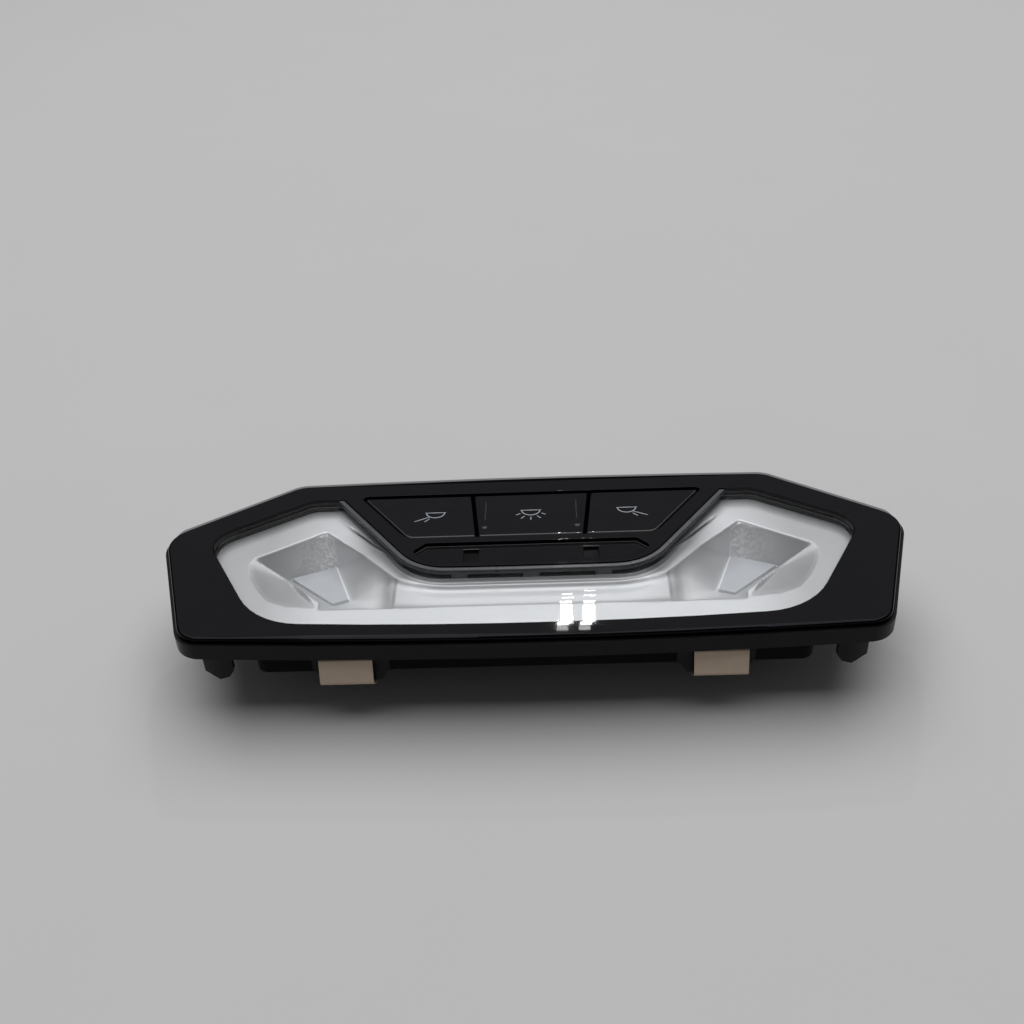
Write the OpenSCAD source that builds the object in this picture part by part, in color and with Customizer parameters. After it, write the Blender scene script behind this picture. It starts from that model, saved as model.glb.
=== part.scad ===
// Car roof dome light with two reading lamps and three keys, lying on its back with its face up.
// X runs along the unit, Y from its near edge to its far edge, Z up to the face. Millimetres.

/* [Face cover] */
// Distance between the two side points of the face, before rounding
cover_width = 190; // [184:1:200]
// Distance from the near edge to the far edge, on the centre line
cover_depth = 62.5; // [61:0.5:66]
// Width of the far edge between its two corners
far_edge_width = 125; // [121:1:129]
// Width of the near edge between its two corners
near_edge_width = 167.4; // [163:0.2:171]
// Height of the side points above the middle of the face
side_point_y = 9.6; // [8:0.2:11]
// How far the far edge bows outward in its middle
far_bow = 1; // [0.6:0.1:1.4]
// How far the near edge bows outward in its middle
near_bow = 2.5; // [2:0.1:3]
// Rounding of the far corners
far_corner_r = 7; // [5:0.5:9]
// Rounding of the side points
side_corner_r = 7; // [5:0.5:9]
// Rounding of the near corners
near_corner_r = 6; // [4:0.5:7]
// Thickness of the gloss black cover
cover_t = 1.8; // [1.6:0.1:2]
// Rounding of the cover's outer top edge
cover_edge_r = 0.6; // [0.4:0.1:0.8]

/* [Lens window] */
// Y of the window's far edge
window_far_y = 24; // [23.5:0.1:24.5]
// Y of the window's near edge on the centre line
window_near_y = -26.3; // [-26.6:0.1:-26]
// Width of the window's far edge between its outer corners
window_far_width = 117.2; // [115:0.2:119]
// Width of the window at its side points, before rounding
window_width = 168.8; // [166:0.2:171]
// Y of the window's side points
window_side_y = 9; // [8.5:0.1:9.5]
// Width of the window's near edge between its corners
window_near_width = 132.4; // [130:0.2:135]
// How far the window's near edge bows outward in its middle
window_bow = 2.2; // [1.8:0.1:2.6]
// Rounding of the near corners of the window
window_near_r = 19; // [17:0.5:21]
// Rounding of the window's side points
window_side_r = 7.5; // [6:0.5:9]
// Rounding of the window's far corners
window_far_r = 6; // [5:0.5:7]
// Thickness of the clear lens
lens_t = 1.8; // [1.6:0.1:2]
// Width of the flange that bonds the lens behind the cover
lens_flange = 1.4; // [1.2:0.1:1.6]
// Thickness of that flange
lens_flange_t = 0.8; // [0.6:0.1:0.9]

/* [Centre panel] */
// Width of the panel beside the key row, at the window's far edge
panel_beside = 4.5; // [4.2:0.1:5]
// How much narrower each side of the panel gets towards its near edge
panel_taper = 21.6; // [21:0.2:22.4]
// Y of the panel's near edge at its corners
panel_near_y = -5; // [-5.4:0.1:-4.6]
// Rounding of the panel's near corners
panel_r = 15; // [13:0.5:17]
// Width of the light guide that lines the panel's edge
accent_w = 1.1; // [0.9:0.1:1.3]
// How far the light guide stands below the face
accent_drop = 0.4; // [0.3:0.1:0.6]
// Width of the slot below the keys, between its pointed ends
slot_width = 60; // [58:1:62]
// Depth of that slot, from its near edge to its far edge
slot_depth = 7.6; // [7:0.1:8]
// Y of the middle of the slot
slot_y = 0.45; // [0.3:0.05:0.6]
// How deep the slot is sunk into the panel
slot_sink = 1.2; // [1:0.1:1.4]
// Width of each light port in the slot
port_w = 3.8; // [3.4:0.1:4.2]
// Length of each light port
port_l = 4.8; // [4.4:0.1:5]
// X of the light ports' middles
port_x = 15.2; // [14:0.2:17]

/* [Keys] */
// Width of the row of three keys at its far edge
keys_far_width = 91.4; // [90:0.2:92.4]
// Y of the keys' far edge
keys_far_y = 24.9; // [24.6:0.1:25.2]
// Y of the keys' near edge
keys_near_y = 6.5; // [6.3:0.1:6.9]
// Rounding of the row's near corners
keys_r = 4; // [3:0.5:5]
// X of the joint beside the middle key, at the far edge
key_split_far = 15.6; // [15:0.1:16.2]
// X of the joint beside the middle key, at the near edge
key_split_near = 13.75; // [13.3:0.05:14.2]
// Gap round each key
key_gap = 0.45; // [0.4:0.05:0.5]
// How far the key faces stand below the cover's face
key_recess = 0.35; // [0.3:0.05:0.4]
// Height of a key's side walls
key_skirt = 5.6; // [5:0.2:6]
// Wall thickness of a key
key_wall = 1.2; // [1.1:0.1:1.4]
// How far a key goes down when it is pressed
key_travel = 0.8; // [0.6:0.1:0.9]
// Width of the two feeler ribs on the middle key
rib_w = 1.3; // [1.1:0.1:1.5]
// Distance of a feeler rib from the joint beside it
rib_inset = 2.2; // [2:0.1:2.6]
// Diameter of the plunger below each key
plunger_d = 4; // [3.6:0.1:4.4]
// Side of the square guide legs below each key
leg_w = 2.6; // [2.4:0.1:2.8]

/* [Reflector] */
// Depth of the silver flange below the face
flange_drop = 4; // [3.8:0.1:4.2]
// Wall thickness of the reflector
reflector_t = 1.2; // [1:0.1:1.4]
// Depth of the reading lamps' lenses below the face
tile_drop = 12; // [11.5:0.1:12.5]
// Width of a reading lamp's lens
tile_w = 12.8; // [12.4:0.1:13.2]
// Length of a reading lamp's lens
tile_l = 14.3; // [14:0.1:14.6]
// Turn of the reading lamps' lenses, which aims them outward
tile_turn = 20; // [18:1:22]
// X of the middle of a reading lamp's lens
tile_x = 55.3; // [55:0.1:55.8]
// Y of the middle of a reading lamp's lens
tile_y = 1.6; // [1.3:0.1:2]
// Radius of the trough between the two lamps
trough_r = 4.6; // [4.3:0.1:5]
// Y of the trough's far rim
trough_far_y = -8.1; // [-8.4:0.1:-7.8]
// Y of the trough's near rim
trough_near_y = -15.5; // [-15.8:0.1:-15.2]
// Height of the reflector's rim beside the panel
rim_h = 1.3; // [1:0.1:1.3]
// Width of the groove beside the panel
groove_w = 0.8; // [0.6:0.1:1]
// Depth of that groove
groove_depth = 0.9; // [0.7:0.1:1]

/* [Carrier frame] */
// How far the frame's skirt stands out beyond the cover
skirt_proud = 0.85; // [0.7:0.05:1]
// How far the skirt's top edge lies below the face
skirt_drop = 1.7; // [1.5:0.1:1.8]
// Height of the skirt
skirt_height = 4.3; // [4:0.1:4.6]
// How far the skirt's rim along the far side lies below the face
far_rim_drop = 0.3; // [0.2:0.1:0.6]
// Thickness of the frame's walls
frame_t = 1.4; // [1.2:0.1:1.5]
// Width of the tabs that carry the spring clips
tab_w = 18.6; // [18:0.1:20]
// X of the tabs' middles
tab_x = 43.5; // [42:0.5:45]
// Distance of the tabs' outer faces from the middle of the unit
tab_y = 29.2; // [29.1:0.05:29.3]
// Depth of the tabs' lower edges below the face
tab_drop = 14.8; // [14.4:0.1:15.2]
// Depth of the locating legs' lower tips below the face
leg_drop = 14.2; // [13.6:0.1:15]
// X of the bend in each locating leg
leg_x = 76; // [75:0.5:76.5]
// Thickness of a locating leg
leg_t = 1.5; // [1.3:0.1:1.7]

/* [Spring clips] */
// Width of a spring clip
clip_w = 13.3; // [12.6:0.1:13.6]
// X of the clips' middles
clip_x = 45; // [44.5:0.1:45.4]
// Thickness of the clip's spring sheet
clip_t = 0.5; // [0.4:0.05:0.5]
// Depth of a clip's lowest point below the face
clip_drop = 16; // [15.8:0.1:16.4]

/* [Rear housing] */
// Overall height of the unit, from its rear rest face to its face
overall_height = 28; // [27.5:0.1:29]
// Depth of the shallow part's underside below the face
shallow_drop = 13.8; // [13.6:0.1:14]
// Width of the shallow part at its near wall
shallow_near_width = 133; // [130:1:136]
// Width of the shallow part at its side points
shallow_width = 156; // [154.6:0.2:160]
// Y of the shallow part's near wall
shallow_near_y = -27; // [-27.1:0.05:-26.8]
// Y of the shallow part's far wall
shallow_far_y = 26; // [25.5:0.1:26.4]
// Width of the deep core
core_width = 138.4; // [137.6:0.2:139.4]
// How far the core's sides and near wall slope inward at its foot
core_slope = 7; // [5:0.5:8]
// Height of that slope
core_slope_h = 8.6; // [8:0.1:9]
// Y of the core's near wall
core_near_y = -10.6; // [-11:0.1:-10.2]
// Y of the core's far wall
core_far_y = 24; // [23.6:0.1:24.4]
// Wall thickness of the housing
housing_t = 1.6; // [1.4:0.1:1.7]
// Diameter of the housing screws
screw_d = 2.5; // [2.2:0.1:2.6]
// Diameter of the screw heads
screw_head_d = 4.6; // [4.2:0.1:4.8]

/* [Board and connector] */
// Width of the circuit board
board_w = 126; // [124:1:128]
// Thickness of the circuit board
board_t = 1.6; // [1.4:0.1:1.8]
// Height of the board's upper face above the rear rest face
board_top = 11.6; // [11.4:0.1:11.8]
// Width of the connector header
header_w = 24; // [22:0.5:26]
// Height of the connector header
header_h = 7.4; // [7.2:0.1:7.6]
// Length of the connector header
header_l = 13; // [12:0.5:14]
// Wall thickness of the header
header_t = 1; // [0.9:0.05:1.1]
// Number of pins in each of the connector's two rows
pins = 6; // [4:1:7]
// Side of a connector pin
pin_w = 0.64; // [0.6:0.02:0.7]
// Side of a key switch's body
switch_w = 6; // [5.8:0.1:6.2]
// Height of a key switch's body
switch_h = 4; // [3.8:0.1:4.2]
// Diameter of a key switch's stem
stem_d = 3.2; // [3:0.1:3.4]

/* [Hidden] */
$fn = 48;

slip = 0.05; // clearance of pieces that are bonded or snapped together
slide = 0.3; // clearance of pieces that slide in one another
tiny = 0.01;
face_z = overall_height;
cover_under = face_z - cover_t;
flange_z = face_z - flange_drop;
flange_under = flange_z - reflector_t;
lens_under = face_z - lens_t;
web_top = lens_under - lens_flange_t;
skirt_top = face_z - skirt_drop;
wide = cover_width / 190; // stretch of the plan along X
deep = cover_depth / 62.5; // stretch of the plan along Y
key_stretch = keys_far_width / 91.4; // stretch of the keys along X
spread = (keys_far_width - keys_far_width / key_stretch) / 2; // outward shift beside the keys
skirt_under = skirt_top - skirt_height;
tile_z = face_z - tile_drop;
tile_plate_t = 0.8;
well_floor = tile_z - tile_plate_t;
well_under = well_floor - reflector_t;
shallow_under = face_z - shallow_drop;
half_depth = cover_depth / deep / 2; // before the stretch of the plan
half_width = cover_width / wide / 2; // before the stretch of the plan
panel_far_half = keys_far_width / 2 + panel_beside;
panel_near_half = panel_far_half - panel_taper;
panel_slope = panel_taper / (window_far_y - panel_near_y);
board_under = board_top - board_t;
core_near = core_near_y * deep;
core_far = core_far_y * deep;
key_top = face_z - key_recess;
key_under = key_top - key_skirt;
switch_top = board_top + switch_h;
stem_top = switch_top + 1.4;
key_middle_y = (keys_far_y + keys_near_y) / 2 * deep;
key_side_x = 26.5 * key_stretch * wide;
cover_lip = 0.9;
cover_undercut = 0.6;
tray_t = 0.8;
tray_under = cover_under - tray_t;
foot_top = tray_under - slip;
guide_grow = 1.5;
guide_wall = 1;
rim_t = 0.8;
guide_z = shallow_under + housing_t;
led_h = 1.6;

// Outline helpers

function unit(v) = v / norm(v);

// Points of a rounding of radius r at corner p, between its neighbours a and b
function corner(a, p, b, r, steps = 7) = r <= 0 ? [p] :
  let (u = unit(a - p), v = unit(b - p))
  let (half = acos(u * v) / 2)
  let (middle = p + unit(u + v) * (r / sin(half)))
  let (from = p + u * (r / tan(half)) - middle, to = p + v * (r / tan(half)) - middle)
  let (start = atan2(from[1], from[0]))
  let (turn = (atan2(to[1], to[0]) - start + 540) % 360 - 180)
  [for (i = [0:steps]) middle + r * [cos(start + turn * i / steps), sin(start + turn * i / steps)]];

function flat(p) = [p[0], p[1]];

// Closed outline through corners given as [x, y, rounding]
function outline(p) = [
  for (i = [0:len(p) - 1])
    each corner(flat(p[(i + len(p) - 1) % len(p)]), flat(p[i]), flat(p[(i + 1) % len(p)]), p[i][2])
];

// Points placed on the plan: out moves them with what lies beside the keys
function at(points, out = 0) = [
  for (p = points) [(p[0] + (p[0] < 0 ? -out : out)) * wide, p[1] * deep, each len(p) > 2 ? [p[2]] : []]
];

function spot(p, out = 0) = at([p], out)[0];

// Both halves of an outline whose right half is given from far to near
function both_sides(half) = concat(
  half,
  [for (i = [len(half) - 1:-1:0]) [-half[i][0], half[i][1], half[i][2]]]
);

// Points of a bowed edge that reaches y in its middle and y + bow at x
function bowed(x, y, bow, shares) = [for (s = shares) [x * s, y + bow * s * s, 0]];

// Face outlines

module cover_2d(grow = 0) {
  half = concat(
    bowed(far_edge_width / 2, half_depth, -far_bow, [0.2, 0.45, 0.7]),
    [
      [far_edge_width / 2, half_depth - far_bow, far_corner_r],
      [half_width, side_point_y, side_corner_r],
      [near_edge_width / 2, near_bow - half_depth, near_corner_r]
    ],
    bowed(near_edge_width / 2, -half_depth, near_bow, [0.85, 0.65, 0.4, 0.15])
  );
  offset(delta = grow)
    polygon(outline(at(both_sides(half), spread)));
}

module panel_2d(grow = 0) {
  beyond = 14;
  half = concat(
    [
      [panel_far_half + panel_slope * beyond, window_far_y + beyond, 0],
      [panel_near_half, panel_near_y, panel_r]
    ],
    bowed(panel_near_half, panel_near_y - 0.3, 0.3, [0.6, 0.2])
  );
  offset(delta = grow)
    polygon(outline(at(both_sides(half))));
}

module window_outer_2d(grow = 0) {
  half = concat(
    [
      [window_far_width / 2, window_far_y, window_far_r],
      [window_width / 2, window_side_y, window_side_r],
      [window_near_width / 2, window_near_y + window_bow, window_near_r]
    ],
    bowed(window_near_width / 2, window_near_y, window_bow, [0.6, 0.35, 0.12])
  );
  offset(delta = grow)
    polygon(outline(at(both_sides(half), spread)));
}

// The window is the ring between its outer edge and the centre panel
module window_2d(grow = 0, panel_grow = 0) {
  difference() {
    window_outer_2d(grow);
    panel_2d(panel_grow);
  }
}

module key_row_2d(grow = 0) {
  reach = keys_far_width / 2 - panel_slope * (keys_far_y - keys_near_y);
  half = [[keys_far_width / 2, keys_far_y, 1], [reach, keys_near_y, keys_r]];
  offset(delta = grow)
    polygon(outline(at(both_sides(half))));
}

key_lean = (key_split_far - key_split_near) / (keys_far_y - keys_near_y);

// Region of one key: side -1, 0 or 1
module key_zone_2d(side, gap) {
  over = 5;
  far_x = (key_split_far + key_lean * over) * key_stretch * wide;
  near_x = (key_split_near - key_lean * over) * key_stretch * wide;
  far_y = (keys_far_y + over) * deep;
  near_y = (keys_near_y - over) * deep;
  middle = [[far_x - gap, far_y], [near_x - gap, near_y]];
  outer = [[far_x + gap, far_y], [near_x + gap, near_y]];
  beyond = keys_far_width;
  if (side == 0)
    polygon(concat(middle, [for (p = [middle[1], middle[0]]) [-p[0], p[1]]]));
  else
    mirror([side < 0 ? 1 : 0, 0])
      polygon(concat(outer, [[beyond, near_y], [beyond, far_y]]));
}

module key_2d(side, inset = 0) {
  offset(delta = -inset)
    intersection() {
      key_row_2d(-key_gap);
      key_zone_2d(side, key_gap);
    }
}

module slot_2d(grow = 0) {
  half = [
    [slot_width / 2 - 3.2, slot_y + slot_depth / 2, 0.6],
    [slot_width / 2, slot_y + slot_depth / 2 - 3, 0.8],
    [slot_width / 2 - 4.6, slot_y - slot_depth / 2, 2.5]
  ];
  offset(delta = grow)
    polygon(outline(at(both_sides(half))));
}

module ports_2d(grow = 0) {
  for (side = [-1, 1])
    translate(spot([side * port_x, slot_y - 0.2]))
      square([port_w + 2 * grow, port_l + 2 * grow], center = true);
}

// A plate between two heights
module slab(bottom, top) {
  translate([0, 0, bottom])
    linear_extrude(height = top - bottom)
      children();
}

// Face cover: border and centre panel in one moulding

module cover() {
  color("#101113") {
    difference() {
      rounded_plate();
      slab(cover_under - 1, face_z + 1)
        window_2d();
      slab(cover_under - 1, face_z + 1)
        key_row_2d();
      slab(face_z - slot_sink, face_z + 1)
        slot_2d();
      slab(cover_under - 1, face_z + 1)
        ports_2d();
    }
    slot_tray();
  }
}

// Plate with the rounded outer top edge
module rounded_plate() {
  steps = 4;
  slab(cover_under, face_z - cover_lip)
    cover_2d(-cover_undercut);
  hull() {
    slab(face_z - cover_lip - tiny, face_z - cover_edge_r)
      cover_2d();
    for (i = [1:steps])
      slab(face_z - cover_edge_r, face_z - cover_edge_r * (1 - sin(90 * i / steps)))
        cover_2d(-cover_edge_r * (1 - cos(90 * i / steps)));
  }
}

// Thicker floor below the slot
module slot_tray() {
  difference() {
    slab(tray_under, cover_under)
      slot_2d(0.6);
    slab(cover_under - 1, cover_under + 1)
      ports_2d();
  }
}

// Clear lens, flush with the cover and bonded behind it

module front_lens() {
  color("#e8edf0", 0.35) {
    slab(lens_under, face_z)
      window_2d(-slip, accent_w + 2 * slip);
    slab(web_top, lens_under)
      difference() {
        window_2d(lens_flange, accent_w + 2 * slip);
        window_2d(-lens_flange, accent_w + lens_flange);
      }
  }
}

// Milky guide along the panel's edge, fed by stems from the board

module accent_light_guide() {
  color("#c9cdd0") {
    slab(cover_under, face_z - accent_drop)
      difference() {
        intersection() {
          panel_2d(accent_w);
          window_outer_2d(-slip);
        }
        panel_2d(slip);
      }
    slab(foot_top - 0.8, cover_under)
      difference() {
        guide_feet_2d();
        panel_2d(slip);
      }
    slab(foot_top - 0.8, foot_top)
      difference() {
        guide_feet_2d();
        panel_2d(-2.6);
      }
    for (x = accent_stems)
      slab(board_top + led_h + 0.2, foot_top)
        translate([x, accent_stem_y])
          square([accent_stem_w, 1.4], center = true);
  }
}

accent_stem_w = 4;
accent_stem_y = (panel_near_y + 2) * deep;
accent_stems = [-18 * wide, 0, 18 * wide];

module guide_feet_2d() {
  intersection() {
    panel_2d(accent_w);
    for (x = accent_stems)
      translate([x, accent_stem_y])
        square([accent_stem_w, 12], center = true);
  }
}

// Reflector: silver tray with the trough and the two lamp wells

// Corners of the right lamp's lens, turned about its middle
function tile_corner(i, grow = 0) =
  let (x = (i == 0 || i == 3 ? 1 : -1) * (tile_w / 2 + grow))
  let (y = (i < 2 ? 1 : -1) * (tile_l / 2 + grow))
  spot([tile_x, tile_y], spread) + [
    x * cos(tile_turn) + y * sin(tile_turn),
    y * cos(tile_turn) - x * sin(tile_turn)
  ];

// The lens's near edge is cut off where the well's outer wall crosses it
function tile_cut(grow = 0) =
  tile_corner(2, grow) + (tile_corner(3, grow) - tile_corner(2, grow)) * 0.38;

module tile_2d(grow = 0) {
  offset(delta = grow)
    polygon([tile_corner(0), tile_corner(1), tile_corner(2), tile_cut()]);
}

// Rim of a well at the flange: outer corner, far corner, inner end and near end
well_outer = spot([71.6, 4.8], spread);
well_far = spot([54.4, 15.1], spread);
well_inner = spot([43.1, 4.9], spread);
well_near = spot([50.5, -14.5], spread);
ramp_side_y = -12 * deep;
// Lowest point of the small pit in the well's outer corner
pit_bottom = spot([63.1, 0.4], spread);
pit_drop = 4;
// Where the trough's rim turns up along the panel
trough_turn = spot([34.2, -4.6], spread);

module point(p, z) {
  translate([p[0], p[1], z])
    cube([tiny, tiny, tiny], center = true);
}

// Deep well: from its rim down to the lens
module well(rim_z, floor_z, grow) {
  hull() {
    slab(rim_z - tiny, rim_z)
      offset(r = grow + 1, $fn = 32)
        offset(delta = -1)
          polygon([well_outer, well_far, well_inner, [well_inner[0], ramp_side_y], well_near]);
    slab(floor_z, floor_z + tiny)
      tile_2d(grow);
  }
}

// Ramp that joins the trough to the well
module ramp(rim_z, floor_z, grow) {
  near_end = [well_near[0] + 2, trough_near];
  turn_near = [trough_turn[0], trough_near];
  hull() {
    slab(rim_z - tiny, rim_z)
      offset(delta = grow)
        polygon([trough_turn, well_inner, near_end, turn_near]);
    slab(floor_z, floor_z + tiny)
      offset(r = grow + tiny, $fn = 24)
        polygon([tile_corner(2), tile_cut(), tile_corner(2) + [0.4, 0.8]]);
    point(spot([43, 1.1], spread), rim_z - 1.5 - grow);
    point(spot([43.1, -1.8], spread), rim_z - 4 - grow);
    point(spot([44.4, -3.5], spread), rim_z - 6.3 - grow);
    point([trough_turn[0], -11 * deep], rim_z - trough_depth - grow);
  }
}

// Shallow pit with two facets in the well's near outer corner
module pit(rim_z) {
  bow = [[72.6, 2.6, 1.5], [71.9, -1.5, 3], [69.4, -6.8, 4], [65.8, -11.6, 4], [60.5, -13.9, 2]];
  rim = concat(at(bow, spread), [[well_near[0] + 3, well_near[1], 0], concat(well_outer, [0])]);
  hull() {
    slab(rim_z - tiny, rim_z)
      polygon(outline(rim));
    point(pit_bottom, rim_z - pit_drop);
  }
}

trough_far = trough_far_y * deep;
trough_near = trough_near_y * deep;
trough_half = (trough_far - trough_near) / 2;
trough_rise = sqrt(trough_r * trough_r - trough_half * trough_half);
trough_depth = trough_r - trough_rise;

module trough(grow, top) {
  reach = trough_turn[0] + 1;
  intersection() {
    translate([-reach, (trough_far + trough_near) / 2, flange_z + trough_rise])
      rotate([0, 90, 0])
        cylinder(h = 2 * reach, r = trough_r + grow, $fn = 96);
    slab(0, top)
      square([2 * cover_width, cover_depth], center = true);
  }
}

// Corner of the trough's rim, from its straight part up to the turn
module trough_corner_2d() {
  turn = trough_turn[0];
  polygon([
    [turn - 14.2, trough_far - 1], [turn - 7.2, trough_far + 0.4], [turn - 3.2, trough_far + 1.6],
    trough_turn, [turn, trough_near + 4], [turn - 14.2, trough_near + 4]
  ]);
}

screw_spots = [spot([30, -21.6]), spot([60, 16.4], spread)];
screw_boss_d = 5;

module reflector() {
  color("#d4d6d8")
    difference() {
      union() {
        slab(flange_under, flange_z)
          window_2d(lens_flange, -1);
        slab(flange_z - tiny, flange_z + rim_h)
          difference() {
            intersection() {
              panel_2d(accent_w + rim_t);
              window_outer_2d(-slip);
            }
            panel_2d(accent_w + slip);
          }
        for (side = [0, 1])
          mirror([side, 0, 0]) {
            well(flange_under, well_under, reflector_t);
            ramp(flange_under, well_under, reflector_t);
            for (p = screw_spots)
              translate([p[0], p[1], shallow_under + housing_t])
                cylinder(h = flange_under + tiny - shallow_under - housing_t, d = screw_boss_d);
          }
        trough(reflector_t, flange_under + tiny);
      }
      trough(0, flange_z + 5);
      for (side = [0, 1])
        mirror([side, 0, 0])
          lamp_cavity();
    }
}

module lamp_cavity() {
  well(flange_z + tiny, well_floor, 0);
  ramp(flange_z + tiny, well_floor, 0);
  pit(flange_z + tiny);
  slab(flange_z - 1.5, flange_z + 1)
    trough_corner_2d();
  slab(well_under - 1, well_floor + 1)
    tile_2d(-2);
  slab(flange_z - groove_depth, flange_z + 1)
    groove_2d();
  for (p = screw_spots)
    translate([p[0], p[1], shallow_under + housing_t - 1])
      cylinder(h = flange_under - shallow_under - housing_t + 0.6, d = screw_d - 0.4);
}

module groove_2d() {
  from = spot([33.9, 1.6], spread);
  to = spot([48.6, 17.3], spread);
  way = unit(to - from);
  side = [-way[1], way[0]] * groove_w / 2;
  polygon([from - side, to - side, to + side, from + side]);
}

// Reading lamp lenses: a plate on the well's floor, with a collector through it

module reading_lens() {
  color("#dfe2e4") {
    slab(well_floor, tile_z)
      tile_2d(-0.25);
    slab(board_top + led_h + 0.2, well_floor)
      tile_2d(-2 - slide);
  }
}

module reading_lens_right() {
  reading_lens();
}

module reading_lens_left() {
  mirror([1, 0, 0])
    reading_lens();
}

// Carrier frame: skirt, web, clip tabs and locating legs in one moulding

module carrier_frame() {
  color("#17181a") {
    slab(skirt_under, skirt_top)
      difference() {
        cover_2d(skirt_proud);
        cover_2d(slip);
      }
    far_rim();
    slab(skirt_under, web_top)
      difference() {
        cover_2d(slip);
        cover_2d(skirt_proud - frame_t);
      }
    slab(flange_z, web_top)
      difference() {
        cover_2d(slip);
        window_outer_2d(slip);
        key_row_2d(guide_grow + slide);
      }
    slab(web_top, cover_under)
      difference() {
        cover_2d(slip);
        cover_2d(-2);
      }
    for (side = [0, 1], end = [0, 1])
      mirror([side, 0, 0])
        mirror([0, end, 0])
          clip_tab();
    for (side = [0, 1])
      mirror([side, 0, 0])
        locating_leg();
  }
}

// The skirt rises to a rim along the far side, from a slope beside each side point
module far_rim() {
  top = face_z - far_rim_drop;
  from = (side_point_y + 0.5) * deep;
  intersection() {
    slab(skirt_top - tiny, top)
      difference() {
        cover_2d(skirt_proud);
        cover_2d(slip);
      }
    rotate([90, 0, 90])
      linear_extrude(height = 2 * cover_width, center = true)
        polygon([
          [from, skirt_top - 1], [from, skirt_top], [from + 5, top + 1],
          [cover_depth, top + 1], [cover_depth, skirt_top - 1]
        ]);
  }
}

// Tab with slanted lower sides
module clip_tab() {
  taper = 2.5;
  tall = flange_z - (face_z - tab_drop);
  translate(concat(spot([tab_x, -tab_y], spread), [face_z - tab_drop]))
    rotate([90, 0, 180])
      linear_extrude(height = clip_seat_t)
        polygon([
          [-tab_w / 2 + taper, 0], [tab_w / 2 - taper, 0], [tab_w / 2, taper * 1.6],
          [tab_w / 2, tall], [-tab_w / 2, tall], [-tab_w / 2, taper * 1.6]
        ]);
}

clip_seat_t = 1.3;

// Bent plate of two faces
module locating_leg() {
  turn = 27;
  outer = 4.4 * cos(turn);
  translate(concat(spot([leg_x, -28.4], spread), [face_z - leg_drop]))
    intersection() {
      linear_extrude(height = leg_drop - flange_drop)
        polygon([
          [-3.8, 0], [0, 0], [outer, 4.4 * sin(turn)],
          [outer - leg_t * sin(turn), 4.4 * sin(turn) + leg_t * cos(turn)],
          [-leg_t * tan(turn / 2), leg_t], [-3.8, leg_t]
        ]);
      rotate([90, 0, 0])
        linear_extrude(height = cover_depth, center = true)
          polygon([
            [-4, 3.2], [-2.4, 0.8], [0, 0], [6, 1.8], [6, leg_drop], [-4, leg_drop]
          ]);
    }
}

// Keys with plunger and guide legs

// X and Y of the middle of a key
function key_middle(side) = [side * key_side_x, key_middle_y];

// Places of a key's guide legs, from its middle
function leg_places(side) = side == 0 ?
  [[-9, 0], [9, 0]] :
  [[side * -6.8, 0], [side * 6.5, 2.4]];

module key(side) {
  edge = 0.35;
  color("#131416") {
    difference() {
      union() {
        hull() {
          slab(key_under, key_top - edge)
            key_2d(side);
          slab(key_under, key_top)
            key_2d(side, edge);
        }
        if (side == 0)
          feeler_ribs();
      }
      slab(key_under - 1, key_top - key_wall)
        key_2d(side, key_wall);
    }
    translate(concat(key_middle(side), [stem_top]))
      cylinder(h = key_top - key_wall - stem_top + tiny, d = plunger_d);
    translate(key_middle(side))
      slab(key_under + 1, key_top - key_wall + tiny) {
        square([plunger_d * 2.2, 1], center = true);
        square([1, plunger_d * 2.2], center = true);
      }
    for (p = leg_places(side))
      translate(key_middle(side) + p)
        slab(board_top + 3.4, key_top - key_wall + tiny)
          square(leg_w, center = true);
  }
}

module feeler_ribs() {
  for (side = [0, 1])
    mirror([side, 0, 0])
      slab(key_top - 0.1, face_z)
        hull()
          for (y = [keys_near_y + 4.4, keys_near_y + 14])
            translate([(key_split_near + key_lean * (y - keys_near_y)) * key_stretch * wide - rib_inset, y * deep])
              circle(d = rib_w, $fn = 24);
}

module button_left() {
  key(-1);
}

module button_centre() {
  key(0);
}

module button_right() {
  key(1);
}

// Switch stems, which follow the plungers

module stem(side) {
  color("#3a3c40")
    translate(concat(key_middle(side), [switch_top - 1]))
      cylinder(h = stem_top - switch_top + 1, d = stem_d);
}

module stem_left() {
  stem(-1);
}

module stem_centre() {
  stem(0);
}

module stem_right() {
  stem(1);
}

module key_switches() {
  color("#26282b")
    for (side = [-1:1])
      translate(concat(key_middle(side), [board_top]))
        difference() {
          translate([-switch_w / 2, -switch_w / 2, 0])
            cube([switch_w, switch_w, switch_h]);
          translate([0, 0, switch_h - 1 - key_travel - 0.3])
            cylinder(h = switch_h, d = stem_d + slide);
        }
}

// Guide that carries the keys between the board and the cover

module key_guide() {
  floor_t = 1.4;
  socket = leg_w + 2 * slide;
  color("#1c1d20")
    difference() {
      union() {
        slab(guide_z, cover_under)
          difference() {
            key_row_2d(guide_grow);
            key_row_2d(guide_grow - guide_wall);
          }
        slab(guide_z, guide_z + floor_t)
          key_row_2d(guide_grow - slip);
        for (side = [-1:1], p = leg_places(side))
          translate(key_middle(side) + p)
            slab(board_top, key_under - key_travel - 0.4)
              square(socket + 2, center = true);
      }
      for (side = [-1:1]) {
        translate(key_middle(side))
          slab(guide_z - 1, guide_z + floor_t + 1)
            circle(d = stem_d + 2 * slide + 1.4);
        translate(key_middle(side) + [0, -5.4])
          slab(guide_z - 1, guide_z + floor_t + 1)
            square([3, 2.4], center = true);
        for (p = leg_places(side))
          translate(key_middle(side) + p)
            slab(board_top + 1, key_under)
              square(socket, center = true);
      }
    }
}

// Circuit board and what it carries

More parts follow.
